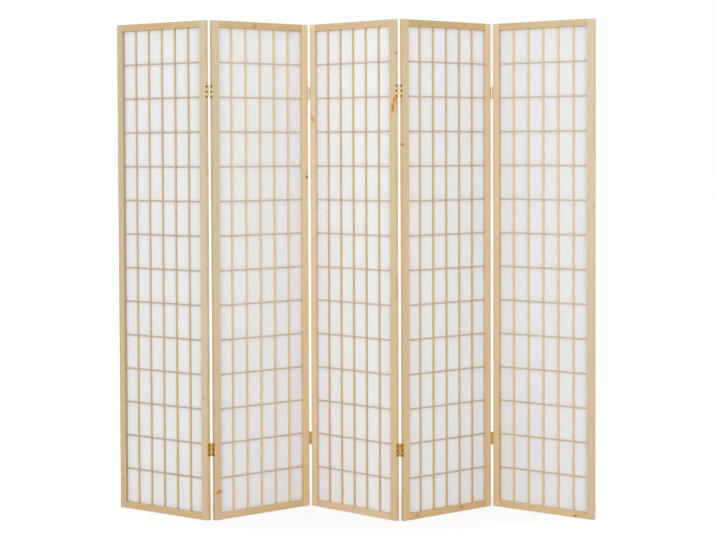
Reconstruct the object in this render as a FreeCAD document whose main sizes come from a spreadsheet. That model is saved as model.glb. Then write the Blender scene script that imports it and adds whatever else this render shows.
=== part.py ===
"""Folding shoji screen: wooden panels with slat lattices and paper, joined by brass butt hinges."""
import FreeCAD, Part
import os
import re

# Driving sizes in millimetres and degrees.
SIZES = {
    # Frame of one panel.
    "panel_height": 1785.0,
    "panel_width": 437.0,
    "frame_thickness": 17.0,
    "stile_face": 27.5,
    "rail_face": 24.0,
    "edge_radius": 1.0,
    # Tenon on each rail end, held in a blind mortise in the stile.
    "tenon_length": 18.0,
    "tenon_thickness": 6.0,
    "tenon_height": 12.0,
    "tenon_gap": 0.1,
    # Slat lattice let into the frame, with the paper on its back in a groove.
    "lattice_setback": 7.5,
    "slat_depth": 5.0,
    "vertical_slat_width": 5.2,
    "horizontal_slat_height": 3.8,
    "end_column": 61.0,
    "end_row": 124.1,
    "lap_gap": 0.1,
    "paper_thickness": 0.4,
    "seat_depth": 4.5,
    "seat_side_gap": 0.1,
    "seat_end_gap": 0.5,
    # Butt hinge, screwed to the outer edges of two neighbouring stiles.
    "hinge_inset": 253.0,
    "hinge_height": 46.0,
    "leaf_thickness": 1.2,
    "leaf_reach": 16.0,
    "leaf_clearance": 0.6,
    "knuckle_radius": 3.3,
    "knuckle_stand_off": 0.1,
    "knuckle_gap": 0.3,
    "leaf_notch_gap": 0.5,
    "hinge_pin_radius": 1.5,
    "hinge_pin_gap": 0.05,
    "hinge_pin_head_radius": 2.4,
    "hinge_pin_head_height": 1.2,
    "hinge_pin_head_gap": 0.1,
    # Countersunk wood screws in the hinge leaves.
    "screw_pitch": 18.0,
    "screw_line_inset": 8.2,
    "screw_radius": 1.3,
    "screw_head_radius": 3.3,
    "screw_length": 14.0,
    "screw_tip_length": 3.0,
    "screw_gap": 0.05,
    "recess_length": 3.4,
    "recess_width": 0.8,
    "recess_depth": 0.8,
    # How far each panel is turned out of the line of the screen.
    "first_panel_turn": 38.0,
    "inner_panel_turn": 41.1,
    "middle_panel_turn": 45.3,
    "last_panel_turn": 39.65,
}

VERTICAL_SLATS = 5
HORIZONTAL_SLATS = 13
KNUCKLES = 5
SCREWS_PER_LEAF = 3
PANELS = (1, 2, 3, 4, 5)
MIDDLE_PANEL = 3

# Count, pitch, face size and middle of the upright and of the cross slats.
UPRIGHTS = (VERTICAL_SLATS, "column_pitch", "vertical_slat_width", "0")
CROSSES = (HORIZONTAL_SLATS, "row_pitch", "horizontal_slat_height", "panel_height / 2")

# Each hinged pair of panels, with the face of the frame that its hinge pins stand behind.
JUNCTIONS = {(1, 2): "back", (2, 3): "front", (3, 4): "back", (4, 5): "front"}
HINGE_ROWS = {"upper": "panel_height - hinge_inset", "lower": "hinge_inset"}

# Span from front to back of the mortises that take the slat ends.
SLAT_CAVITY = ("lattice_front - seat_side_gap", "lattice_back")

# Turn of each panel about the vertical, seen from above.
TURNS = {
    1: "-first_panel_turn",
    2: "inner_panel_turn",
    3: "-middle_panel_turn",
    4: "inner_panel_turn",
    5: "-last_panel_turn",
}

# Sizes that follow from the driving ones.
DERIVED = {
    "opening_half_width": "panel_width / 2 - stile_face",
    "cavity_depth": "seat_depth + seat_end_gap",
    "seat_half_width": "opening_half_width + seat_depth",
    "seat_bottom": "rail_face - seat_depth",
    "seat_top": "panel_height - rail_face + seat_depth",
    "column_pitch": f"(opening_half_width - end_column) * 2 / {VERTICAL_SLATS - 1}",
    "row_pitch": f"(panel_height - 2 * rail_face - 2 * end_row) / {HORIZONTAL_SLATS - 1}",
    "lattice_front": "lattice_setback - frame_thickness / 2",
    "lattice_middle": "lattice_front + slat_depth / 2",
    "lattice_back": "lattice_front + slat_depth",
    "groove_front": "lattice_back - seat_side_gap",
    "groove_back": "lattice_back + paper_thickness + seat_side_gap",
    "tenon_inset": "(rail_face - tenon_height) / 2",
    "leaf_face": "panel_width / 2 + leaf_thickness",
    "pin_along": "leaf_face + leaf_clearance",
    "pin_across": "frame_thickness / 2 + knuckle_stand_off + knuckle_radius",
    "leaf_notch": "pin_across - knuckle_radius - leaf_notch_gap",
    "leaf_inner_edge": "frame_thickness / 2 - leaf_reach",
    "knuckle_pitch": f"hinge_height / {KNUCKLES}",
    "screw_line": "frame_thickness / 2 - screw_line_inset",
}

DOC = FreeCAD.newDocument("shoji_screen")
SHEET = DOC.addObject("Spreadsheet::Sheet", "Sizes")
ALONG_X = FreeCAD.Rotation(FreeCAD.Vector(0, 1, 0), 90)
UPRIGHT = FreeCAD.Rotation()


def sheet_word(match):
    """A size name pointing at its cell in the sheet, or any other word as it is."""
    word = match[0]
    return f"Sizes.{word}" if word in SHEET_NAMES else word


def sheet_words(formula):
    """The formula with each size name pointing at its cell in the sheet."""
    return re.sub(r"[a-z]\w*", sheet_word, formula)


def fill_sheet():
    """Write the driving sizes, the derived ones and the place of each panel into the sheet."""
    rows = {name: str(value) for name, value in SIZES.items()}
    rows.update({name: "=" + formula for name, formula in DERIVED.items()})
    rows.update({name: "=" + formula for name, formula in panel_places().items()})
    for number, (name, text) in enumerate(rows.items(), start=1):
        SHEET.set(f"A{number}", name)
        SHEET.set(f"B{number}", text)
        SHEET.setAlias(f"B{number}", name)
        SHEET_NAMES.add(name)


def panel_places():
    """Formulas for each panel's turn and centre, walking out from the middle panel over the hinge pins."""
    places = {f"panel_{number}_turn": turn for number, turn in TURNS.items()}
    places[f"panel_{MIDDLE_PANEL}_x"] = "0"
    places[f"panel_{MIDDLE_PANEL}_y"] = "0"
    for step in (-1, 1):
        for number in range(MIDDLE_PANEL + step, PANELS[-1] + 1 if step > 0 else PANELS[0] - 1, step):
            known = number - step
            pair = (min(number, known), max(number, known))
            across = "pin_across" if JUNCTIONS[pair] == "back" else "-pin_across"
            to_pin = pin_offset(known, step, across)
            from_pin = pin_offset(number, -step, across)
            for axis, way in to_pin.items():
                places[f"panel_{number}_{axis}"] = f"panel_{known}_{axis} + {way} - {from_pin[axis]}"
    return places


def pin_offset(number, end, across):
    """Formulas for the way from a panel's centre to the hinge pin at one of its ends."""
    cosine = f"cos(panel_{number}_turn)"
    sine = f"sin(panel_{number}_turn)"
    along = "pin_along" if end > 0 else "-pin_along"
    return {
        "x": f"(({along}) * {cosine} - ({across}) * {sine})",
        "y": f"(({along}) * {sine} + ({across}) * {cosine})",
    }


def bind(shape, **formulas):
    """Tie properties of an object to the sheet; x, y, z and turn stand for its placement."""
    paths = {"x": "Placement.Base.x", "y": "Placement.Base.y", "z": "Placement.Base.z",
             "turn": "Placement.Rotation.Angle"}
    for name, formula in formulas.items():
        shape.setExpression(paths.get(name, name), sheet_words(formula))
    return shape


def box(name, x, y, z):
    """A block from three spans, each a pair of start and end formulas."""
    block = DOC.addObject("Part::Box", name)
    sides = {"Length": x, "Width": y, "Height": z}
    bind(block, x=x[0], y=y[0], z=z[0])
    return bind(block, **{side: f"({end}) - ({start})" for side, (start, end) in sides.items()})


def rod(name, radius, start, length, rotation=UPRIGHT):
    """A cylinder from a start point (three formulas), standing or lying along x."""
    cylinder = DOC.addObject("Part::Cylinder", name)
    cylinder.Placement = FreeCAD.Placement(FreeCAD.Vector(), rotation)
    return bind(cylinder, Radius=radius, Height=length, x=start[0], y=start[1], z=start[2])


def taper(name, radii, start, length):
    """A cone lying along x, with its radius at the start and at the end."""
    cone = DOC.addObject("Part::Cone", name)
    cone.Placement = FreeCAD.Placement(FreeCAD.Vector(), ALONG_X)
    return bind(cone, Radius1=radii[0], Radius2=radii[1], Height=length, x=start[0], y=start[1], z=start[2])


def group(name, members):
    """Separate solids held as one object."""
    compound = DOC.addObject("Part::Compound", name)
    compound.Links = members
    return compound


def cut(name, base, tools):
    """The base with all the tools taken out of it."""
    result = DOC.addObject("Part::Cut", name)
    result.Base = base
    result.Tool = tools[0] if len(tools) == 1 else group(name + "_tools", tools)
    return result


def fuse(name, members):
    """One solid made of several that touch."""
    result = DOC.addObject("Part::MultiFuse", name)
    result.Shapes = members
    return result


def runs_along(edge, direction):
    """Whether a straight edge lies parallel to a direction."""
    return edge.tangentAt(edge.FirstParameter).cross(direction).Length < Part.Precision.confusion()


def eased(name, blank, direction):
    """A block with its four long edges rounded."""
    DOC.recompute()
    rounded = DOC.addObject("Part::Fillet", name)
    rounded.Base = blank
    radius = SHEET.edge_radius
    rounded.Edges = [(number, radius, radius) for number, edge in enumerate(blank.Shape.Edges, start=1)
                     if runs_along(edge, direction)]
    return rounded


def reach(side, near, far):
    """A span measured outwards from the panel's centre, on its right or back, or on its left or front."""
    if side in ("right", "back"):
        return (near, far)
    return (f"-({far})", f"-({near})")


def ordered(side, near, far):
    """Two values put in the order in which a span on that side runs."""
    return (near, far) if side == "right" else (far, near)


def offset_from_centre(index, count, pitch):
    """Formula for one place in a centred row of equally spaced ones."""
    return f"({index} - {count - 1} / 2) * {pitch}"


def slat_spans(count, pitch, size, middle, gap):
    """Span of each slat's thickness across the lattice, opened by a gap on both sides."""
    spans = []
    for index in range(count):
        place = f"{middle} + {offset_from_centre(index, count, pitch)}"
        spans.append((f"{place} - {size} / 2 - {gap}", f"{place} + {size} / 2 + {gap}"))
    return spans


def stile_seats(name, side):
    """Cavities in a stile for the paper's edge and the ends of the cross slats."""
    inwards = reach(side, "opening_half_width", "opening_half_width + cavity_depth")
    groove = box(name + "_groove", inwards, ("groove_front", "groove_back"),
                 ("rail_face - cavity_depth", "panel_height - rail_face + cavity_depth"))
    mortises = [box(name + "_slat_mortise", inwards, SLAT_CAVITY, span)
                for span in slat_spans(*CROSSES, "seat_side_gap")]
    return fuse(name + "_seats", [groove] + mortises)


def rail_seats(name, level):
    """Cavities in a rail for the paper's edge and the ends of the upright slats."""
    base = "rail_face - cavity_depth" if level == "bottom" else "panel_height - rail_face"
    inwards = (base, f"{base} + cavity_depth")
    groove = box(name + "_groove", ("-opening_half_width", "opening_half_width"),
                 ("groove_front", "groove_back"), inwards)
    mortises = [box(name + "_slat_mortise", span, SLAT_CAVITY, inwards)
                for span in slat_spans(*UPRIGHTS, "seat_side_gap")]
    return fuse(name + "_seats", [groove] + mortises)


def make_stile(side, hinged):
    """Upright of the frame with its mortises and groove, and pilot holes where a hinge is screwed on."""
    name = f"{side}_stile_{hinged or 'plain'}"
    thickness = ("-frame_thickness / 2", "frame_thickness / 2")
    blank = box(name + "_blank", reach(side, "opening_half_width", "panel_width / 2"),
                thickness, ("0", "panel_height"))
    cheeks = ("-tenon_thickness / 2 - tenon_gap", "tenon_thickness / 2 + tenon_gap")
    depth = reach(side, "opening_half_width", "opening_half_width + tenon_length + tenon_gap")
    low = "tenon_inset - tenon_gap"
    high = "tenon_inset + tenon_height + tenon_gap"
    tools = [
        box(name + "_lower_mortise", depth, cheeks, (low, high)),
        box(name + "_upper_mortise", depth, cheeks,
            (f"panel_height - ({high})", f"panel_height - ({low})")),
        stile_seats(name, side),
    ]
    if hinged:
        pilots = reach(side, "panel_width / 2 - screw_length - screw_gap", "panel_width / 2")
        for row, height in HINGE_ROWS.items():
            for index, (y, z) in enumerate(screw_places(hinged)):
                tools.append(rod(f"{name}_{row}_pilot_{index}", "screw_radius + screw_gap",
                                 (pilots[0], y, f"{height} + {z}"), "screw_length + screw_gap", ALONG_X))
    return cut(name, eased(name + "_eased", blank, FreeCAD.Vector(0, 0, 1)), tools)


def make_rail(level):
    """Cross piece of the frame with end tenons, slat mortises and a groove along its inner edge."""
    name = f"{level}_rail"
    base = "0" if level == "bottom" else "panel_height - rail_face"
    blank = box(name + "_blank", ("-opening_half_width", "opening_half_width"),
                ("-frame_thickness / 2", "frame_thickness / 2"), (base, f"{base} + rail_face"))
    members = [eased(name + "_eased", blank, FreeCAD.Vector(1, 0, 0))]
    for side in ("left", "right"):
        members.append(box(f"{name}_{side}_tenon",
                           reach(side, "opening_half_width", "opening_half_width + tenon_length"),
                           ("-tenon_thickness / 2", "tenon_thickness / 2"),
                           (f"{base} + tenon_inset", f"{base} + tenon_inset + tenon_height")))
    return cut(name, fuse(name + "_joined", members), [rail_seats(name, level)])


def make_slats():
    """Upright and cross slats, lapped halfway into each other at every crossing."""
    depth = ("lattice_front", "lattice_back")
    front = ("lattice_front", "lattice_middle")
    back = ("lattice_middle", "lattice_back")
    width = ("-seat_half_width", "seat_half_width")
    height = ("seat_bottom", "seat_top")
    uprights = [box("upright_slat", span, depth, height) for span in slat_spans(*UPRIGHTS, "0")]
    cross_laps = [box("cross_lap", width, back, span) for span in slat_spans(*CROSSES, "lap_gap")]
    crosses = [box("cross_slat", width, depth, span) for span in slat_spans(*CROSSES, "0")]
    upright_laps = [box("upright_lap", span, front, height) for span in slat_spans(*UPRIGHTS, "lap_gap")]
    return {
        "vertical_slats": cut("vertical_slats", group("upright_slats", uprights), cross_laps),
        "horizontal_slats": cut("horizontal_slats", group("cross_slats", crosses), upright_laps),
    }


def make_paper():
    """Sheet of paper glued to the back of the lattice."""
    return box("paper", ("-seat_half_width", "seat_half_width"),
               ("lattice_back", "lattice_back + paper_thickness"), ("seat_bottom", "seat_top"))


def screw_places(face):
    """Across and up places of the screws of one leaf, counted from the hinge's middle."""
    across = "screw_line" if face == "back" else "-screw_line"
    return [(across, offset_from_centre(index, SCREWS_PER_LEAF, "screw_pitch"))
            for index in range(SCREWS_PER_LEAF)]


def pin_place(side, face):
    """Along and across place of the hinge pin at one end of a panel."""
    return ("pin_along" if side == "right" else "-pin_along",
            "pin_across" if face == "back" else "-pin_across")


def make_leaf(side, face):
    """Hinge leaf on a stile's outer edge, with its share of the knuckles and countersunk screw holes."""
    name = f"{side}_{face}_leaf"
    plate = reach(side, "panel_width / 2", "leaf_face")
    middle = "hinge_height / 2"
    members = [box(name + "_plate", plate, reach(face, "leaf_inner_edge", "leaf_notch"),
                   (f"-{middle}", middle))]
    pin_x, pin_y = pin_place(side, face)
    for index in range(0 if side == "right" else 1, KNUCKLES, 2):
        low = f"{index} * knuckle_pitch - {middle} + knuckle_gap / 2"
        members.append(box(f"{name}_tab_{index}", plate, reach(face, "leaf_notch", "pin_across"),
                           (low, f"{low} + knuckle_pitch - knuckle_gap")))
        members.append(rod(f"{name}_knuckle_{index}", "knuckle_radius", (pin_x, pin_y, low),
                           "knuckle_pitch - knuckle_gap"))
    tools = [rod(name + "_bore", "hinge_pin_radius + hinge_pin_gap", (pin_x, pin_y, f"-{middle}"),
                 "hinge_height")]
    radii = ordered(side, "screw_radius + screw_gap", "screw_head_radius + screw_gap")
    for index, (y, z) in enumerate(screw_places(face)):
        tools.append(taper(f"{name}_countersink_{index}", radii, (plate[0], y, z), "leaf_thickness"))
    return cut(name, fuse(name + "_joined", members), tools)


def make_screws(side, face):
    """Countersunk cross-recess screws that hold one leaf."""
    name = f"{side}_{face}_screws"
    head = reach(side, "panel_width / 2", "leaf_face")
    shank = reach(side, "panel_width / 2 - screw_length + screw_tip_length", "panel_width / 2")
    tip = reach(side, "panel_width / 2 - screw_length", "panel_width / 2 - screw_length + screw_tip_length")
    recess = reach(side, "leaf_face - recess_depth", "leaf_face")
    long_span = "recess_length / 2"
    short_span = "recess_width / 2"
    screws = []
    slots = []
    for index, (y, z) in enumerate(screw_places(face)):
        screws.append(fuse(f"{name}_{index}", [
            taper(f"{name}_head", ordered(side, "screw_radius", "screw_head_radius"), (head[0], y, z),
                  "leaf_thickness"),
            rod(f"{name}_shank", "screw_radius", (shank[0], y, z), "screw_length - screw_tip_length",
                ALONG_X),
            taper(f"{name}_tip", ordered(side, "0", "screw_radius"), (tip[0], y, z),
                  "screw_tip_length"),
        ]))
        for across, up in ((long_span, short_span), (short_span, long_span)):
            slots.append(box(f"{name}_slot", recess, (f"{y} - {across}", f"{y} + {across}"),
                             (f"{z} - {up}", f"{z} + {up}")))
    return cut(name, group(name + "_whole", screws), slots)


def make_pin(face):
    """Hinge pin with a flat head at each end, in the knuckles on a panel's right end."""
    name = f"{face}_pin"
    x, y = pin_place("right", face)
    shoulder = "hinge_height / 2 + hinge_pin_head_gap"
    return fuse(name, [
        rod(name + "_shaft", "hinge_pin_radius", (x, y, f"-({shoulder})"), f"2 * ({shoulder})"),
        rod(name + "_top_head", "hinge_pin_head_radius", (x, y, shoulder), "hinge_pin_head_height"),
        rod(name + "_bottom_head", "hinge_pin_head_radius",
            (x, y, f"-({shoulder}) - hinge_pin_head_height"), "hinge_pin_head_height"),
    ])


def placed(label, members, panel, height="0"):
    """A sub-part of one panel: its form set at the panel's place and turn."""
    part = group(label, members)
    part.Label = label
    part.Placement = FreeCAD.Placement(FreeCAD.Vector(), FreeCAD.Rotation(FreeCAD.Vector(0, 0, 1), 1))
    SUBPARTS.append(part)
    return bind(part, x=f"panel_{panel}_x", y=f"panel_{panel}_y", z=height, turn=f"panel_{panel}_turn")


def raised(name, form, height):
    """A copy of a hinge form lifted to its height on the panel."""
    return bind(group(name, [form]), z=height)


def hinge_faces(panel):
    """The hinged ends of a panel, with the face of the frame that each hinge pin stands behind."""
    faces = {}
    for (left, right), face in JUNCTIONS.items():
        if panel == left:
            faces["right"] = face
        if panel == right:
            faces["left"] = face
    return faces


def build():
    """Make every form once, then set its copies in the panels."""
    rails = {level: make_rail(level) for level in ("top", "bottom")}
    slats = make_slats()
    paper = make_paper()
    ends = {(side, hinge_faces(panel).get(side)) for panel in PANELS for side in ("left", "right")}
    stiles = {end: make_stile(*end) for end in sorted(ends, key=str)}
    hinged_ends = [end for end in stiles if end[1]]
    leaves = {end: make_leaf(*end) for end in hinged_ends}
    screws = {end: make_screws(*end) for end in hinged_ends}
    pins = {face: make_pin(face) for face in sorted(set(JUNCTIONS.values()))}
    for panel in PANELS:
        faces = hinge_faces(panel)
        for side in ("left", "right"):
            placed(f"panel_{panel}_{side}_stile", [stiles[(side, faces.get(side))]], panel)
        for level, rail in rails.items():
            placed(f"panel_{panel}_{level}_rail", [rail], panel)
        for name, lattice in slats.items():
            placed(f"panel_{panel}_{name}", [lattice], panel)
        placed(f"panel_{panel}_paper", [paper], panel)
        sets = [raised(f"panel_{panel}_{side}_{row}_screws", screws[(side, face)], height)
                for side, face in faces.items() for row, height in HINGE_ROWS.items()]
        placed(f"panel_{panel}_hinge_screws", sets, panel)
    for (left, right), face in JUNCTIONS.items():
        hinge = f"hinge_{left}_{right}"
        for row, height in HINGE_ROWS.items():
            placed(f"{hinge}_{row}_left_leaf", [leaves[("right", face)]], left, height)
            placed(f"{hinge}_{row}_right_leaf", [leaves[("left", face)]], right, height)
        both = [raised(f"{hinge}_{row}_pin", pins[face], height) for row, height in HINGE_ROWS.items()]
        placed(f"{hinge}_pins", both, left)


def check():
    """Stop if any object failed or any sub-part has no sound shape."""
    failed = [item.Name for item in DOC.Objects if {"Invalid", "Error"} & set(item.State)]
    unsound = [part.Label for part in SUBPARTS if part.Shape.isNull() or not part.Shape.isValid()]
    if failed or unsound:
        raise SystemExit(f"failed objects {failed}, unsound sub-parts {unsound}")


def write():
    """Write each sub-part to its own file."""
    os.makedirs("parts", exist_ok=True)
    for part in SUBPARTS:
        part.Shape.exportStep(os.path.join("parts", part.Label + ".step"))


SHEET_NAMES = set()
SUBPARTS = []
fill_sheet()
DOC.recompute()
build()
DOC.recompute()
check()
write()
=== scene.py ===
"""Looks of the folding shoji screen: pine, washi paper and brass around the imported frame."""
import math

import bmesh
import bpy
from mathutils import Matrix, Quaternion, Vector, noise


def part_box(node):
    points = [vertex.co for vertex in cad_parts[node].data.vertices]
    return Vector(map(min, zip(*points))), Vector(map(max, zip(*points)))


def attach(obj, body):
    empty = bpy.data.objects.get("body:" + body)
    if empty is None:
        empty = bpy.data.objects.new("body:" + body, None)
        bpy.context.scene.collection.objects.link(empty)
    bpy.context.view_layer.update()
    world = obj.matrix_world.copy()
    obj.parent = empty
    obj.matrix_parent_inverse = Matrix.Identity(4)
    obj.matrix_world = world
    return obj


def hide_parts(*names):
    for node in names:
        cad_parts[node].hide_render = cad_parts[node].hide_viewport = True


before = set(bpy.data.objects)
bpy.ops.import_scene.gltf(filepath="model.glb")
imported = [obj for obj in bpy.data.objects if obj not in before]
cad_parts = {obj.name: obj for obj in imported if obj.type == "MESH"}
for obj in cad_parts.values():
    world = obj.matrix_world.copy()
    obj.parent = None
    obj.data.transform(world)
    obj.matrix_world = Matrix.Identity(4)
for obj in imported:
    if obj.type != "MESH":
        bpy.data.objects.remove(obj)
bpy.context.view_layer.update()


def linear(red, green, blue):
    """Scene colour of a display colour given from 0 to 255, by the sRGB curve."""
    def channel(value):
        share = value / 255
        return share / 12.92 if share <= 0.04045 else ((share + 0.055) / 1.055) ** 2.4
    return (channel(red), channel(green), channel(blue), 1.0)


def grey(value):
    """Grey of one scene brightness."""
    return (value, value, value, 1.0)


PANELS = (1, 2, 3, 4, 5)
WHITE = grey(1.0)

# Sizes of one panel in metres, as in the part.
PANEL_HEIGHT = 1.785
INNER_FACE = 0.191
COLUMN_PITCH = 0.065
ROW_PITCH = 0.12407
COLUMNS = 5
ROWS = 13
PAPER_HALF_WIDTH = 0.1955
PAPER_BOTTOM = 0.0195
PAPER_TOP = 1.7655
PAPER_FRONT = 0.0040
PAPER_THICKNESS = 0.0004
HINGE_INSET = 0.253
SCREW_PITCH = 0.018

# Camera of the photograph: focal length and shift in its pixels, angles in degrees.
IMAGE_WIDTH = 716
FOCAL_LENGTH = 1907.8
IMAGE_SHIFT = -53.04
SENSOR_WIDTH = 36.0
CAMERA_PLACE = (0.01647, -6.91902, 1.32337)
CAMERA_DIP = 2.015
CAMERA_ROLL = -0.211
SIGHT_END = 200.0

# Light: even surroundings, and two equal soft lamps in front of the screen.
WORLD_LIGHT = 0.85
LAMP_PLACES = {"key": (-3.0, -6.5, 2.7), "fill": (3.0, -6.5, 2.7)}
LAMP_TARGET = (0.0, 0.0, 0.9)
LAMP_SIZE = 3.0
LAMP_POWER = 126.0

# Floor: how far the shadow reaches along and across the screen and where it fades, and brightness.
FLOOR_HALF = 40.0
FLOOR_DROP = 0.0003
FLOOR_BOUNCE = grey(0.80)
FLOOR_SHADE = grey(0.22)
FLOOR_GLOW = (0.775, 0.93)
SHADOW_REACH = (1.1, 0.45, 1.0)
SHADOW_FADE = (0.6, 1.4)

# Early and late wood of the frames, of their paler boards and of the upright and cross slats.
FRAME_WOOD = (linear(216, 197, 166), linear(188, 159, 119))
PALE_WOOD = (linear(214, 197, 173), linear(186, 160, 126))
SLAT_WOOD = (linear(220, 191, 155), linear(188, 157, 120))
CROSS_WOOD = (linear(214, 190, 162), linear(182, 156, 128))
END_WOOD = linear(186, 148, 104)
KNOT_WOOD = linear(112, 86, 50)
PITCH_WOOD = linear(212, 158, 96)

# Tint that the wood takes on towards the floor, and the height from which it does.
LOW_TINT = (1.0, 0.94, 0.85, 1.0)
LOW_TINT_TOP = 1.1

# Painted shade on the stiles' inner faces that look into the panel's opening, darker on the left stiles
# than on the right, and how far outside the face it starts and is full.
PAINTED_INNER_SHADES = {"left_stile": (0.78, 0.75, 0.72, 1.0), "right_stile": (0.92, 0.89, 0.85, 1.0)}
INNER_SHADE_START = 0.0007
INNER_SHADE_FULL = 0.0001

# How light each frame piece is beside the others: the boards' own tone, and on the stiles at the folds
# between panels 2 and 3 and between 4 and 5 also painted light that lifts them against the shade of those
# folds.
FRAME_PIECES = ("left_stile", "right_stile", "top_rail", "bottom_rail")
TONES = {
    1: (0.915, 0.985, 0.87, 0.93),
    2: (0.94, 1.07, 0.85, 0.97),
    3: (1.19, 0.99, 0.955, 1.08),
    4: (0.945, 1.05, 0.81, 0.92),
    5: (1.08, 0.99, 0.92, 1.01),
}
PALE_BOARDS = ("panel_1_left_stile", "panel_1_right_stile", "panel_2_left_stile", "panel_5_right_stile")

# The slats with the axis that they run along, and how light they are: their own tone, darkened further as
# painted shade for shadow beside the slats on the paper.
SLAT_PIECES = (("vertical_slats", "z", SLAT_WOOD), ("horizontal_slats", "x", CROSS_WOOD))
SLAT_TONES_AND_PAINTED_SHADE = {1: (0.875, 0.82), 2: (1.06, 0.93), 3: (0.885, 0.99), 4: (0.885, 0.88), 5: (1.08, 0.97)}
SLAT_SEED = 40

# How much warmer a piece gets as it darkens, and how much of that its green takes part in.
STILE_WARMTH = 1.0
RAIL_WARMTH = 2.0
SLAT_WARMTH = 0.5
GREEN_WARMTH = 0.25

# Grain, with scales along the fibres, across them and into the board.
SEED_STEP = Vector((3.7, 1.31, 2.17))
WANDER_SCALE = (1.6, 9.0, 9.0)
WANDER_REACH = (0.0, 0.030, 0.030)
FIBRE_SCALE = (7.0, 700.0, 700.0)
PATCH_SCALE = (2.2, 14.0, 14.0)
KNOT_EDGE_SCALE = (90.0, 240.0, 60.0)
HALF = (0.5, 0.5, 0.5)

# Yearly rings: their width, the width of a wave texture's rings at scale 1, and where the pith lies.
FRAME_RINGS = 0.0026
SLAT_RINGS = 0.0018
WAVE_WIDTH = 0.1 * math.pi
WAVE_DISTORTION = 1.2
LATE_WOOD_POWER = 2.6
PITH_ACROSS = 0.016
PITH_ACROSS_SPREAD = 0.009
PITH_ACROSS_STEP = 2.3
PITH_DEPTH = 0.030
PITH_DEPTH_SPREAD = 0.012
PITH_DEPTH_STEP = 1.7

# Shares of late wood, fibres and patches in the colour, and of fibres and late wood in the relief.
LATE_SHARE = 0.42
FIBRE_SHARE = 0.30
PATCH_SHARE = 0.26
FIBRE_RELIEF = 0.7
LATE_RELIEF = 0.5
WOOD_BUMP = {"Strength": 0.25, "Distance": 0.0003}
WOOD_ROUGHNESS = (0.62, 0.48)
WOOD_SPECULAR = 0.35

# End grain: where the surface counts as an end, and how much of the end colour it takes.
END_START = 0.75
END_FULL = 0.95
END_SHARE = 0.55

# Knots: unevenness of their edge, and reach of the halo and of the heart in the knot's own sizes.
KNOT_EDGE = 1.2
HALO_REACH = (2.4, 0.8)
HALO_SHARE = 0.8
HEART_REACH = (1.1, 0.6)

# Knots and streaks: place along and across the piece, reach along and across, slant and strength.
KNOTS = {
    "panel_1_left_stile": (
        (0.104, -0.206, 0.006, 0.005, 0.0, 0.5),
    ),
    "panel_1_right_stile": (
        (1.328, 0.210, 0.005, 0.005, 0.0, 0.45),
        (1.632, 0.206, 0.004, 0.006, 0.0, 0.3),
        (0.438, 0.2055, 0.0025, 0.008, 0.0, 0.65),
    ),
    "panel_2_left_stile": (
        (0.100, -0.203, 0.0045, 0.013, 0.28, 0.9),
        (0.104, -0.194, 0.005, 0.005, 0.3, 1.0),
    ),
    "panel_2_right_stile": (
        (1.224, 0.211, 0.006, 0.005, 0.0, 1.0),
    ),
    "panel_2_top_rail": (
        (-0.030, 1.771, 0.005, 0.009, -0.3, 0.7),
    ),
    "panel_3_left_stile": (
        (1.438, -0.204, 0.011, 0.009, -0.9, 0.65),
    ),
    "panel_3_right_stile": (
        (1.472, 0.209, 0.015, 0.0075, 1.1, 0.8),
        (1.500, 0.2150, 0.012, 0.004, 0.6, 0.8),
        (1.666, 0.2185, 0.003, 0.003, 0.0, 0.7),
    ),
    "panel_4_left_stile": (
        (1.342, -0.2185, 0.004, 0.004, 0.0, 0.75),
    ),
    "panel_4_bottom_rail": (
        (-0.155, 0.012, 0.009, 0.005, 0.0, 0.65),
        (0.065, 0.016, 0.009, 0.006, 0.0, 0.65),
    ),
    "panel_5_bottom_rail": (
        (0.143, 0.006, 0.006, 0.005, 0.0, 0.9),
    ),
}

# Finger joints: place along the piece and how light the board beyond it is.
FINGER_JOINTS = {
    "panel_1_top_rail": ((0.055, 1.03),),
    "panel_2_bottom_rail": ((-0.060, 0.97),),
    "panel_3_left_stile": ((0.620, 0.97),),
    "panel_4_top_rail": ((0.090, 1.04),),
    "panel_5_bottom_rail": ((0.146, 0.94),),
    "panel_5_right_stile": ((0.930, 1.03),),
}
FINGER_WIDTH = 0.002
FINGER_SLOPE = 4.5
FINGER_GREEN = 1.2
FINGER_BLUE = 1.5

# Paper: its greys, how light each sheet is, which is painted light and shade that evens out the light the
# sheets get beside their neighbours, its cloudiness and its fibres by angle and fineness.
PAPER_TONES_AND_PAINTED_LIGHT = {1: 0.99, 2: 0.97, 3: 1.05, 4: 0.985, 5: 0.975}
PAPER_DARK = linear(235, 235, 235)
PAPER_LIGHT = linear(242, 242, 242)
PAPER_FIBRE = linear(249, 249, 249)
PAPER_STEP = Vector((0.73, 0.0, 1.19))
CURL_SCALE = 14.0
CURL_REACH = (0.05, 0.0, 0.05)
STRANDS = ((0.45, 420.0), (-0.7, 360.0), (1.35, 480.0))
STRAND_LENGTH = 26.0
STRAND_EDGE = (0.66, 0.78)
STRAND_SHARE = 0.5
STRAND_RELIEF = 0.6
CLOUD_SCALE = 38.0
CLOUD_RELIEF = 0.5
PAPER_BUMP = {"Strength": 0.3, "Distance": 0.0002}
PAPER_ROUGHNESS = 0.85
PAPER_SPECULAR = 0.2
PAPER_THROUGH = 0.22

# Slack of the sheet: its depth, waves by weight and scale, and steps across and up each cell.
PAPER_SLACK = 0.0006
SLACK_WAVES = ((1.0, (9, 5, 3.1)), (0.5, (31, 17, 7.7)))
STEPS_ACROSS = 6
STEPS_UP = 8

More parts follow.
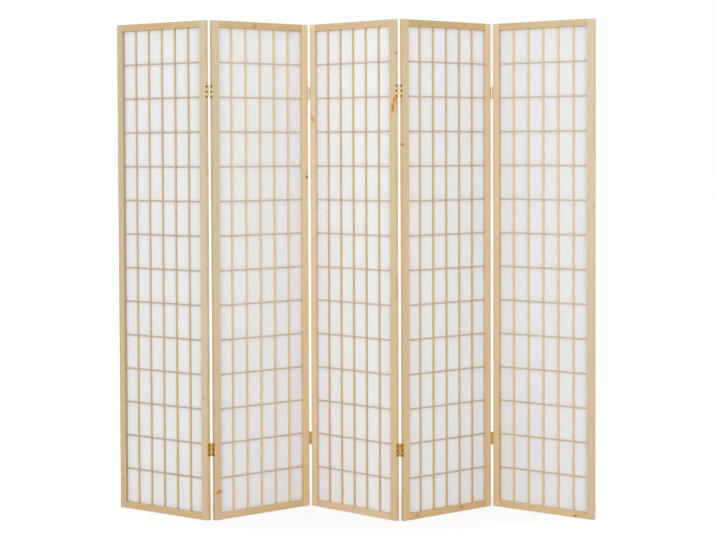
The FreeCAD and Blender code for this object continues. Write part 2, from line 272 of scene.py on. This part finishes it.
# Bright, tarnished and darkened colours of the upper and of the lower hinges, and of their screws; the
# upper hinges are paler than the lower ones as painted light.
UPPER_BRASS = (linear(222, 212, 186), linear(202, 190, 158), linear(70, 60, 32))
LOWER_BRASS = (linear(218, 192, 130), linear(176, 142, 78), linear(160, 124, 64))
UPPER_SCREWS = (linear(26, 22, 11), linear(18, 15, 7), linear(18, 15, 7))
LOWER_SCREWS = (linear(140, 108, 52), linear(104, 78, 34), linear(104, 78, 34))

# Brass: fine lines from the mill, spots of tarnish, and a darker ring round each screw.
MILL_SCALE = (900.0, 900.0, 60.0)
SPOT_SCALE = 160.0
TARNISH_EDGE = (0.42, 0.68)
DARK_RING_REACH = 0.0046
DARK_RING_FADE = 0.001
DARK_RING_SHARE = 0.8
LEAF_ROUGHNESS = 0.42
SCREW_ROUGHNESS = 0.55
SMOOTHER = 0.06
ROUGHER = 0.1
BRASS_BUMP = {"Strength": 0.12, "Distance": 0.0001}


def centre_of(node):
    low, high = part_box(node)
    return (low + high) / 2


def panel_matrix(panel):
    """Place of a panel: its own x runs along its width and its own y from front to back."""
    left = centre_of(f"panel_{panel}_left_stile")
    right = centre_of(f"panel_{panel}_right_stile")
    middle = (left + right) / 2
    turn = math.atan2(right.y - left.y, right.x - left.x)
    return Matrix.Translation((middle.x, middle.y, 0)) @ Matrix.Rotation(turn, 4, "Z")


PLACES = {panel: panel_matrix(panel) for panel in PANELS}


class Tree:
    """Short calls for building the nodes of a material or of the world."""

    def __init__(self, owner):
        owner.use_nodes = True
        self.owner = owner
        self.nodes = owner.node_tree.nodes
        self.links = owner.node_tree.links
        self.nodes.clear()

    def feed(self, socket, value):
        if isinstance(value, bpy.types.NodeSocket):
            self.links.new(value, socket)
        else:
            socket.default_value = value

    def add(self, kind, inputs=None, **settings):
        node = self.nodes.new("ShaderNode" + kind)
        for name, value in settings.items():
            setattr(node, name, value)
        for name, value in (inputs or {}).items():
            self.feed(node.inputs[name], value)
        return node

    def math(self, operation, *values, clamp=False):
        inputs = dict(enumerate(values))
        return self.add("Math", inputs, operation=operation, use_clamp=clamp).outputs[0]

    def weighted(self, *pairs, clamp=False):
        """Sum of values, each times its weight."""
        total = 0.0
        for value, weight in pairs:
            total = self.math("MULTIPLY_ADD", value, weight, total, clamp=clamp)
        return total

    def vector(self, operation, first, second):
        return self.add("VectorMath", {0: first, 1: second}, operation=operation).outputs[0]

    def length(self, vector):
        return self.add("VectorMath", {0: vector}, operation="LENGTH").outputs["Value"]

    def split(self, vector):
        return self.add("SeparateXYZ", {"Vector": vector}).outputs

    def join(self, x, y, z=0.0):
        return self.add("CombineXYZ", {"X": x, "Y": y, "Z": z}).outputs[0]

    def blend(self, share, first, second, kind="MIX"):
        inputs = {0: share, 6: first, 7: second}
        return self.add("Mix", inputs, data_type="RGBA", blend_type=kind).outputs[2]

    def span(self, value, low, high, to_low=0.0, to_high=1.0):
        """A value moved from one range to another, with a smooth step at both ends."""
        inputs = dict(enumerate((value, low, high, to_low, to_high)))
        return self.add("MapRange", inputs, interpolation_type="SMOOTHSTEP").outputs[0]

    def between(self, share, low, high):
        """A value that goes evenly from one number to another."""
        return self.add("MapRange", {0: share, 3: low, 4: high}).outputs[0]

    def noise(self, where, scale=1.0, detail=2.0, roughness=0.5):
        inputs = {"Vector": where, "Scale": scale, "Detail": detail, "Roughness": roughness}
        return self.add("TexNoise", inputs).outputs[0]

    def noise_vector(self, where, scale=1.0):
        return self.add("TexNoise", {"Vector": where, "Scale": scale, "Detail": 2.0}).outputs["Color"]

    def bump(self, height, settings):
        return self.add("Bump", {"Height": height, **settings}).outputs[0]

    def point(self):
        return self.add("TexCoord").outputs["Object"]

    def panel_point(self, panel):
        """The point on the surface, in the panel's own axes."""
        inverse = PLACES[panel].inverted()
        inputs = {"Vector": self.point(), "Location": inverse.to_translation(),
                  "Rotation": inverse.to_euler()}
        return self.add("Mapping", inputs, vector_type="POINT").outputs[0]

    def seen_directly(self):
        """1 where the camera, a reflection or glass looks at a surface, and 0 where only light does."""
        path = self.add("LightPath").outputs
        mirrored = self.math("MAXIMUM", path["Is Camera Ray"], path["Is Glossy Ray"])
        return self.math("MAXIMUM", mirrored, path["Is Transmission Ray"])

    def material(self, shader):
        self.add("OutputMaterial", {"Surface": shader})
        return self.owner


def material_tree(name):
    return Tree(bpy.data.materials.new(name))


def toned(colour, tone, warmth=1.0):
    """A wood colour made lighter or darker, and warmer as it darkens."""
    red, green, blue, alpha = colour
    return (red * tone, green * tone ** (1 + GREEN_WARMTH * warmth), blue * tone ** (1 + warmth), alpha)


def late_wood(tree, grain, shifted, seed, ring_width):
    """Late wood of yearly rings round a pith outside the board, wandering slowly along the fibres."""
    wander = tree.noise_vector(tree.vector("MULTIPLY", shifted, WANDER_SCALE))
    sway = tree.vector("MULTIPLY", tree.vector("SUBTRACT", wander, HALF), WANDER_REACH)
    across = PITH_ACROSS + PITH_ACROSS_SPREAD * math.sin(seed * PITH_ACROSS_STEP)
    depth = PITH_DEPTH + PITH_DEPTH_SPREAD * math.cos(seed * PITH_DEPTH_STEP)
    from_pith = tree.vector("ADD", tree.vector("ADD", grain, (0.0, across, depth)), sway)
    inputs = {"Vector": from_pith, "Scale": WAVE_WIDTH / ring_width, "Distortion": WAVE_DISTORTION,
              "Detail": 2.0, "Detail Scale": 0.5}
    ring = tree.add("TexWave", inputs, wave_type="RINGS", rings_direction="X", wave_profile="SAW")
    return tree.math("POWER", ring.outputs["Fac"], LATE_WOOD_POWER)


def paint_shade_inside(tree, colour, across, shade):
    """Painted shade: darken the face of a stile that looks at the panel's opening."""
    from_middle = tree.math("ABSOLUTE", across)
    inside = tree.span(from_middle, INNER_FACE + INNER_SHADE_START, INNER_FACE + INNER_SHADE_FULL)
    return tree.blend(inside, colour, shade, "MULTIPLY")


def add_finger_joint(tree, colour, length, width, joint):
    """Fingers of a glued joint: a zigzag across the piece, with another board beyond it."""
    place, shift = joint
    teeth = tree.math("PINGPONG", width, FINGER_WIDTH)
    edge = tree.math("ADD", length, tree.math("MULTIPLY", teeth, FINGER_SLOPE))
    beyond = tree.math("GREATER_THAN", edge, place)
    return tree.blend(beyond, colour, (shift, shift ** FINGER_GREEN, shift ** FINGER_BLUE, 1.0), "MULTIPLY")


def add_knot(tree, colour, length, width, uneven, knot, tone):
    """A knot or streak: a dark heart in a halo of pitch, with an uneven edge."""
    place, across, reach_along, reach_across, slant, strength = knot
    aside = tree.math("SUBTRACT", width, across)
    ahead = tree.math("SUBTRACT", tree.math("SUBTRACT", length, place), tree.math("MULTIPLY", aside, slant))
    offset = tree.join(tree.math("DIVIDE", ahead, reach_along), tree.math("DIVIDE", aside, reach_across))
    away = tree.math("ADD", tree.length(offset), uneven)
    halo = tree.span(away, *HALO_REACH, 0.0, HALO_SHARE * strength)
    heart = tree.span(away, *HEART_REACH, 0.0, strength ** 2)
    colour = tree.blend(halo, colour, toned(PITCH_WOOD, tone))
    return tree.blend(heart, colour, KNOT_WOOD)


def show_end_grain(tree, colour, tone):
    """Darker sawn ends of an upright piece."""
    upward = tree.split(tree.add("TexCoord").outputs["Normal"])["Z"]
    end = tree.span(tree.math("ABSOLUTE", upward), END_START, END_FULL, 0.0, END_SHARE)
    return tree.blend(end, colour, toned(END_WOOD, tone))


def wood(node, panel, along, tone, seed, colours, warmth, ring_width, painted_inner_shade=None):
    """Straight-grained pine whose fibres run along one of the panel's axes."""
    tree = material_tree("pine_" + node)
    axes = tree.split(tree.panel_point(panel))
    length, width = (axes["Z"], axes["X"]) if along == "z" else (axes["X"], axes["Z"])
    grain = tree.join(length, width, axes["Y"])
    shifted = tree.vector("ADD", grain, SEED_STEP * seed)
    late = late_wood(tree, grain, shifted, seed, ring_width)
    fibre = tree.noise(tree.vector("MULTIPLY", shifted, FIBRE_SCALE), detail=3.0, roughness=0.6)
    patch = tree.noise(tree.vector("MULTIPLY", shifted, PATCH_SCALE))
    share = tree.weighted((late, LATE_SHARE), (fibre, FIBRE_SHARE), (patch, PATCH_SHARE), clamp=True)
    colour = tree.blend(share, *(toned(colour, tone, warmth) for colour in colours))
    colour = tree.blend(tree.span(axes["Z"], LOW_TINT_TOP, 0.0), colour, LOW_TINT, "MULTIPLY")
    # Painted shade on the stiles' inner faces.
    if painted_inner_shade:
        colour = paint_shade_inside(tree, colour, axes["X"], painted_inner_shade)
    for joint in FINGER_JOINTS.get(node, ()):
        colour = add_finger_joint(tree, colour, length, width, joint)
    for knot in KNOTS.get(node, ()):
        rough = tree.noise(tree.vector("MULTIPLY", shifted, KNOT_EDGE_SCALE))
        uneven = tree.math("MULTIPLY_ADD", rough, KNOT_EDGE, -KNOT_EDGE / 2)
        colour = add_knot(tree, colour, length, width, uneven, knot, tone)
    if along == "z":
        colour = show_end_grain(tree, colour, tone)
    relief = tree.weighted((fibre, FIBRE_RELIEF), (late, LATE_RELIEF))
    shader = tree.add("BsdfPrincipled", {
        "Base Color": colour, "Roughness": tree.between(share, *WOOD_ROUGHNESS),
        "Specular IOR Level": WOOD_SPECULAR, "Normal": tree.bump(relief, WOOD_BUMP)})
    return tree.material(shader.outputs[0])


def paper_fibres(tree, place):
    """Long curled fibres lying in several directions, 1 on a fibre and 0 beside it."""
    curl = tree.vector("MULTIPLY", tree.noise_vector(place, CURL_SCALE), CURL_REACH)
    curled = tree.vector("ADD", place, curl)
    fibres = 0.0
    for angle, fineness in STRANDS:
        turned = tree.add("Mapping", {"Vector": curled, "Rotation": (0.0, angle, 0.0)}).outputs[0]
        lines = tree.noise(tree.vector("MULTIPLY", turned, (STRAND_LENGTH, 0.0, fineness)))
        fibres = tree.math("MAXIMUM", fibres, tree.span(lines, *STRAND_EDGE))
    return fibres


def paper_material(panel):
    """Washi: pale sheet with long fibres and a faint cloudiness, lit through from behind."""
    tree = material_tree(f"washi_{panel}")
    place = tree.vector("ADD", tree.panel_point(panel), PAPER_STEP * panel)
    fibres = paper_fibres(tree, place)
    cloud = tree.noise(place, CLOUD_SCALE, 4.0, 0.6)
    colour = tree.blend(cloud, PAPER_DARK, PAPER_LIGHT)
    colour = tree.blend(tree.math("MULTIPLY", fibres, STRAND_SHARE), colour, PAPER_FIBRE)
    # Each sheet's tone: painted light and shade that evens out the light between the sheets.
    colour = tree.blend(1.0, colour, grey(PAPER_TONES_AND_PAINTED_LIGHT[panel]), "MULTIPLY")
    relief = tree.weighted((fibres, STRAND_RELIEF), (cloud, CLOUD_RELIEF))
    bump = tree.bump(relief, PAPER_BUMP)
    face = tree.add("BsdfPrincipled", {"Base Color": colour, "Roughness": PAPER_ROUGHNESS,
                                       "Specular IOR Level": PAPER_SPECULAR, "Normal": bump})
    through = tree.add("BsdfTranslucent", {"Color": colour, "Normal": bump})
    both = tree.add("MixShader", {0: PAPER_THROUGH, 1: face.outputs[0], 2: through.outputs[0]})
    return tree.material(both.outputs[0])


def screw_darkening(tree, panel):
    """How near a point of a hinge leaf lies to one of its screws, from 0 to 1."""
    axes = tree.split(tree.panel_point(panel))
    from_end = tree.math("PINGPONG", axes["Z"], PANEL_HEIGHT / 2)
    from_middle = tree.math("ABSOLUTE", tree.math("SUBTRACT", from_end, HINGE_INSET))
    from_row = tree.math("PINGPONG", from_middle, SCREW_PITCH / 2)
    away = tree.length(tree.join(axes["Y"], from_row))
    return tree.span(away, DARK_RING_REACH, DARK_RING_REACH - DARK_RING_FADE)


def brass(name, upper, lower, roughness, panel=None):
    """Drawn brass in the colours of the upper and lower hinges, the upper paler as painted light, and
    darkened round a panel's screws.
    """
    tree = material_tree(name)
    where = tree.point()
    lines = tree.noise(tree.vector("MULTIPLY", where, MILL_SCALE))
    tarnish = tree.span(tree.noise(where, SPOT_SCALE, 4.0, 0.6), *TARNISH_EDGE)
    # Upper and lower hinges take different colours: painted light that makes the upper ones paler.
    low_down = tree.math("LESS_THAN", tree.split(where)["Z"], PANEL_HEIGHT / 2)
    bright, dull, ring_colour = (tree.blend(low_down, above, below) for above, below in zip(upper, lower))
    colour = tree.blend(tarnish, bright, dull)
    if panel:
        dark_ring = tree.math("MULTIPLY", screw_darkening(tree, panel), DARK_RING_SHARE)
        colour = tree.blend(dark_ring, colour, ring_colour)
    shader = tree.add("BsdfPrincipled", {
        "Base Color": colour, "Metallic": 1.0, "Normal": tree.bump(lines, BRASS_BUMP),
        "Roughness": tree.between(lines, roughness - SMOOTHER, roughness + ROUGHER)})
    return tree.material(shader.outputs[0])


def dress(node, material):
    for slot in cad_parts[node].material_slots:
        slot.material = material


def dress_wood():
    """Give every wooden piece its own board."""
    for panel in PANELS:
        # Frame tones include painted light on the stiles at the folds between panels 2 and 3 and between 4
        # and 5.
        for index, (piece, tone) in enumerate(zip(FRAME_PIECES, TONES[panel])):
            node = f"panel_{panel}_{piece}"
            seed = panel * len(FRAME_PIECES) + index
            colours = PALE_WOOD if node in PALE_BOARDS else FRAME_WOOD
            along, warmth = ("z", STILE_WARMTH) if piece.endswith("stile") else ("x", RAIL_WARMTH)
            shade = PAINTED_INNER_SHADES.get(piece)
            dress(node, wood(node, panel, along, tone, seed, colours, warmth, FRAME_RINGS, shade))
        # Slat tones are darkened partly as painted shade.
        for index, ((piece, along, colours), tone) in enumerate(zip(SLAT_PIECES, SLAT_TONES_AND_PAINTED_SHADE[panel])):
            node = f"panel_{panel}_{piece}"
            seed = SLAT_SEED + panel * len(SLAT_PIECES) + index
            dress(node, wood(node, panel, along, tone, seed, colours, SLAT_WARMTH, SLAT_RINGS))


def dress_brass():
    """Polished leaves and pins, and darker screws."""
    leaves = {panel: brass(f"polished_brass_{panel}", UPPER_BRASS, LOWER_BRASS, LEAF_ROUGHNESS, panel)
              for panel in PANELS}
    pins = brass("pin_brass", UPPER_BRASS, LOWER_BRASS, LEAF_ROUGHNESS)
    screws = brass("dark_screw_brass", UPPER_SCREWS, LOWER_SCREWS, SCREW_ROUGHNESS)
    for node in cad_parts:
        if node.endswith("hinge_screws"):
            dress(node, screws)
        elif node.endswith("pins"):
            dress(node, pins)
        elif node.endswith("leaf"):
            left, right = (int(number) for number in node.split("_")[1:3])
            dress(node, leaves[left if node.endswith("left_leaf") else right])


def slat_lines(count, pitch, middle):
    return [middle + (index - (count - 1) / 2) * pitch for index in range(count)]


def steps_between(edges, parts):
    """Each stretch between two edges divided evenly, as (place, share of the stretch)."""
    found = []
    for low, high in zip(edges, edges[1:]):
        found += [(low + (high - low) * step / parts, step / parts) for step in range(parts)]
    return found + [(edges[-1], 0.0)]


def slack_at(x, z, panel):
    """How far the sheet bulges here, to either side, in a cell that is wholly free."""
    total = 0.0
    for weight, (x_scale, z_scale, panel_step) in SLACK_WAVES:
        total += weight * noise.noise(Vector((x * x_scale, z * z_scale, panel * panel_step)))
    return PAPER_SLACK * total


def sheet_layer(mesh, panel, across, up, back):
    """Rows of points over one side of a sheet, held along the slats."""
    rows = []
    for z, z_share in up:
        row = []
        for x, x_share in across:
            free = math.sin(math.pi * x_share) * math.sin(math.pi * z_share)
            row.append(mesh.verts.new((x, PAPER_FRONT + back + free * slack_at(x, z, panel), z)))
        rows.append(row)
    return rows


def close_rim(mesh, front, rear):
    """Narrow faces round the sheet's edge, with sharp lines, so that they leave its shading alone."""
    top = len(front) - 1
    right = len(front[0]) - 1
    rim = [(0, column) for column in range(right + 1)]
    rim += [(row, right) for row in range(1, top + 1)]
    rim += [(top, column) for column in range(right - 1, -1, -1)]
    rim += [(row, 0) for row in range(top - 1, 0, -1)]
    for (r0, c0), (r1, c1) in zip(rim, rim[1:] + rim[:1]):
        edge = mesh.faces.new((front[r1][c1], front[r0][c0], rear[r0][c0], rear[r1][c1]))
        for line in edge.edges:
            line.smooth = False


def make_paper(panel):
    """A sheet glued to the slats, a little slack in each cell."""
    columns = slat_lines(COLUMNS, COLUMN_PITCH, 0)
    rows = slat_lines(ROWS, ROW_PITCH, PANEL_HEIGHT / 2)
    across = steps_between([-PAPER_HALF_WIDTH, *columns, PAPER_HALF_WIDTH], STEPS_ACROSS)
    up = steps_between([PAPER_BOTTOM, *rows, PAPER_TOP], STEPS_UP)
    mesh = bmesh.new()
    front, rear = (sheet_layer(mesh, panel, across, up, back) for back in (0.0, PAPER_THICKNESS))
    for lower in range(len(up) - 1):
        for left in range(len(across) - 1):
            corners = ((lower, left), (lower, left + 1), (lower + 1, left + 1), (lower + 1, left))
            mesh.faces.new([front[r][c] for r, c in corners])
            mesh.faces.new([rear[r][c] for r, c in reversed(corners)])
    close_rim(mesh, front, rear)
    mesh.transform(PLACES[panel])
    data = bpy.data.meshes.new(f"paper_sheet_{panel}")
    mesh.to_mesh(data)
    mesh.free()
    data.shade_smooth()
    data.materials.append(paper_material(panel))
    sheet = bpy.data.objects.new(f"paper_sheet_{panel}", data)
    bpy.context.scene.collection.objects.link(sheet)
    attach(sheet, f"panel_{panel}")
    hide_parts(f"panel_{panel}_paper")


def floor_material():
    """White where it is seen, with a faint shadow under the screen, and pale where light meets it."""
    tree = material_tree("white_floor")
    away = tree.length(tree.vector("DIVIDE", tree.point(), SHADOW_REACH))
    strength = tree.span(away, *SHADOW_FADE, *FLOOR_GLOW)
    bounce = tree.add("BsdfDiffuse", {"Color": FLOOR_BOUNCE}).outputs[0]
    shade = tree.add("BsdfDiffuse", {"Color": FLOOR_SHADE}).outputs[0]
    glow = tree.add("Emission", {"Color": WHITE, "Strength": strength}).outputs[0]
    shown = tree.add("AddShader", {0: shade, 1: glow}).outputs[0]
    either = tree.add("MixShader", {0: tree.seen_directly(), 1: bounce, 2: shown})
    return tree.material(either.outputs[0])


def make_floor():
    data = bpy.data.meshes.new("floor")
    corners = [(x * FLOOR_HALF, y * FLOOR_HALF, 0) for x, y in ((-1, -1), (1, -1), (1, 1), (-1, 1))]
    data.from_pydata(corners, [], [(0, 1, 2, 3)])
    data.materials.append(floor_material())
    floor = bpy.data.objects.new("floor", data)
    floor.location.z = -FLOOR_DROP
    bpy.context.scene.collection.objects.link(floor)


def make_world():
    """Even pale surroundings, white where they are seen."""
    world = bpy.data.worlds.new("studio")
    tree = Tree(world)
    light = tree.add("Background", {"Color": WHITE, "Strength": WORLD_LIGHT}).outputs[0]
    seen = tree.add("Background", {"Color": WHITE, "Strength": 1.0}).outputs[0]
    either = tree.add("MixShader", {0: tree.seen_directly(), 1: light, 2: seen}).outputs[0]
    tree.add("OutputWorld", {"Surface": either})
    bpy.context.scene.world = world


def make_lamps():
    """Square soft lamps that face the middle of the screen."""
    for name, place in LAMP_PLACES.items():
        data = bpy.data.lights.new(name, "AREA")
        data.shape = "RECTANGLE"
        data.size = LAMP_SIZE
        data.size_y = LAMP_SIZE
        data.energy = LAMP_POWER
        lamp = bpy.data.objects.new(name, data)
        lamp.location = place
        lamp.rotation_euler = (Vector(LAMP_TARGET) - Vector(place)).to_track_quat("-Z", "Y").to_euler()
        bpy.context.scene.collection.objects.link(lamp)


def make_camera():
    """Camera at the photograph's place, with its small tilt."""
    data = bpy.data.cameras.new("camera")
    data.sensor_width = SENSOR_WIDTH
    data.lens = FOCAL_LENGTH / IMAGE_WIDTH * SENSOR_WIDTH
    data.shift_y = IMAGE_SHIFT / IMAGE_WIDTH
    data.clip_end = SIGHT_END
    camera = bpy.data.objects.new("camera", data)
    camera.location = CAMERA_PLACE
    camera.rotation_mode = "QUATERNION"
    level = Quaternion((1, 0, 0), math.radians(90 - CAMERA_DIP))
    camera.rotation_quaternion = level @ Quaternion((0, 0, 1), math.radians(CAMERA_ROLL))
    bpy.context.scene.collection.objects.link(camera)
    bpy.context.scene.camera = camera


make_camera()
for number in PANELS:
    make_paper(number)
dress_wood()
dress_brass()
make_floor()
make_world()
make_lamps()
bpy.context.scene.view_settings.view_transform = "Standard"
